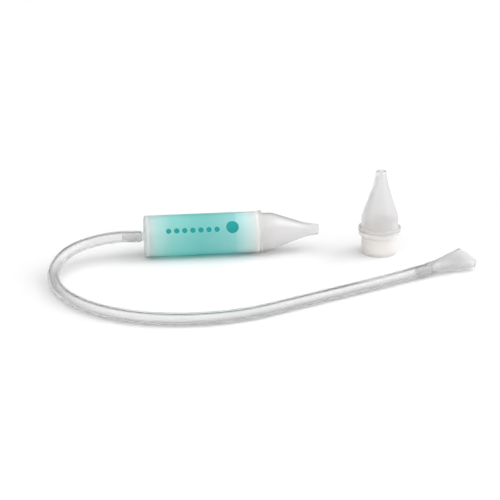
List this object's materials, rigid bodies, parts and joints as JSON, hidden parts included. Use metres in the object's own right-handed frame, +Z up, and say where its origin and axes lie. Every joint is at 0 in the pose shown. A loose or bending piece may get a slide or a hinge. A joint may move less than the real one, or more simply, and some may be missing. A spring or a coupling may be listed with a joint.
{
  "type": "nasal aspirator",
  "caption": "Nasal aspirator for a baby: tube chamber with a soft cone nozzle, clear suction hose ending in a flat mouthpiece, and a spare nozzle standing beside it.",
  "frame": {"origin": "under the middle of the whole set's bounding box, on the plane it rests on", "axes": "+X along the chamber towards its nozzle, +Y away from the hose's front stretch, +Z up"},
  "size_m": [0.2326, 0.1185, 0.0477],
  "materials": {
    "chamber_plastic": "frosted translucent teal, tinted strongest in the middle and nearly clear at both ends",
    "clear_plastic": "clear rigid plastic, slightly hazy",
    "base_plastic": "milky translucent plastic",
    "soft_tip": "soft translucent elastomer, satin",
    "filter_foam": "fine open-cell foam",
    "hose_plastic": "clear flexible tube, glossy"
  },
  "bodies": {
    "chamber": {"chamber_tube": "chamber_plastic"},
    "rear_cap": {"rear_cap": "clear_plastic"},
    "nozzle_base": {"nozzle_base": "base_plastic"},
    "nozzle_filter": {"nozzle_filter": "filter_foam"},
    "nozzle_tip": {"nozzle_tip": "soft_tip"},
    "hose_1": {"hose_link_1": "hose_plastic"},
    "hose_2": {"hose_link_2": "hose_plastic"},
    "hose_3": {"hose_link_3": "hose_plastic"},
    "hose_4": {"hose_link_4": "hose_plastic"},
    "hose_5": {"hose_link_5": "hose_plastic"},
    "hose_6": {"hose_link_6": "hose_plastic"},
    "hose_7": {"hose_link_7": "hose_plastic"},
    "hose_8": {"hose_link_8": "hose_plastic"},
    "hose_9": {"hose_link_9": "hose_plastic"},
    "hose_10": {"hose_link_10": "hose_plastic"},
    "mouthpiece": {"mouthpiece": "clear_plastic"},
    "spare_base": {"spare_base": "base_plastic"},
    "spare_filter": {"spare_filter": "filter_foam"},
    "spare_tip": {"spare_tip": "soft_tip"}
  },
  "joints": [
    {"name": "nozzle_pull", "type": "slide", "parent": "chamber", "child": "nozzle_base", "axis": [1, 0, 0], "range_m": [0, 0.016]},
    {"name": "nozzle_tip_pull", "type": "slide", "parent": "nozzle_base", "child": "nozzle_tip", "axis": [1, 0, 0], "range_m": [0, 0.01]},
    {"name": "nozzle_filter_pull", "type": "slide", "parent": "nozzle_base", "child": "nozzle_filter", "axis": [1, 0, 0], "range_m": [0, 0.01]},
    {"name": "cap_pull", "type": "slide", "parent": "chamber", "child": "rear_cap", "axis": [-1, 0, 0], "range_m": [0, 0.01]},
    {"name": "hose_pull", "type": "slide", "parent": "rear_cap", "child": "hose_1", "axis": [-1, 0, 0], "range_m": [0, 0.014]},
    {"name": "hose_swing_1", "type": "hinge", "parent": "hose_1", "child": "hose_2", "pos_m": [-0.07658, 0.04738, 0.01217], "axis": [0, 0, 1], "range_deg": [-25, 12]},
    {"name": "hose_swing_2", "type": "hinge", "parent": "hose_2", "child": "hose_3", "pos_m": [-0.1034, 0.03559, 0.00942], "axis": [0, 0, 1], "range_deg": [-25, 8]},
    {"name": "hose_lift_3", "type": "hinge", "parent": "hose_3", "child": "hose_4", "pos_m": [-0.11301, 0.00807, 0.00397], "axis": [-0.9971, -0.0767, 0], "range_deg": [0, 25]},
    {"name": "hose_swing_4", "type": "hinge", "parent": "hose_4", "child": "hose_5", "pos_m": [-0.09604, -0.0323, 0.0032], "axis": [0, 0, 1], "range_deg": [-25, 8]},
    {"name": "hose_lift_5", "type": "hinge", "parent": "hose_5", "child": "hose_6", "pos_m": [-0.05824, -0.05427, 0.0032], "axis": [-0.2028, -0.9792, 0], "range_deg": [0, 25]},
    {"name": "hose_swing_6", "type": "hinge", "parent": "hose_6", "child": "hose_7", "pos_m": [-0.03117, -0.0554, 0.0032], "axis": [0, 0, 1], "range_deg": [-25, 8]},
    {"name": "hose_lift_7", "type": "hinge", "parent": "hose_7", "child": "hose_8", "pos_m": [-0.00516, -0.04781, 0.0032], "axis": [0.4321, -0.9018, 0], "range_deg": [0, 25]},
    {"name": "hose_swing_8", "type": "hinge", "parent": "hose_8", "child": "hose_9", "pos_m": [0.02565, -0.03305, 0.0032], "axis": [0, 0, 1], "range_deg": [-25, 15]},
    {"name": "hose_lift_9", "type": "hinge", "parent": "hose_9", "child": "hose_10", "pos_m": [0.05647, -0.01828, 0.00321], "axis": [0.4321, -0.9018, 0], "range_deg": [0, 25]},
    {"name": "mouthpiece_pull", "type": "slide", "parent": "hose_10", "child": "mouthpiece", "axis": [0.9015, 0.4319, 0.0262], "range_m": [0, 0.012]},
    {"name": "spare_lift", "type": "slide", "parent": "chamber", "child": "spare_base", "axis": [0, 0, 1], "range_m": [0, 0.06]},
    {"name": "spare_tip_pull", "type": "slide", "parent": "spare_base", "child": "spare_tip", "axis": [0, 0, 1], "range_m": [0, 0.01]},
    {"name": "spare_filter_pull", "type": "slide", "parent": "spare_base", "child": "spare_filter", "axis": [0, 0, 1], "range_m": [0, 0.01]}
  ]
}
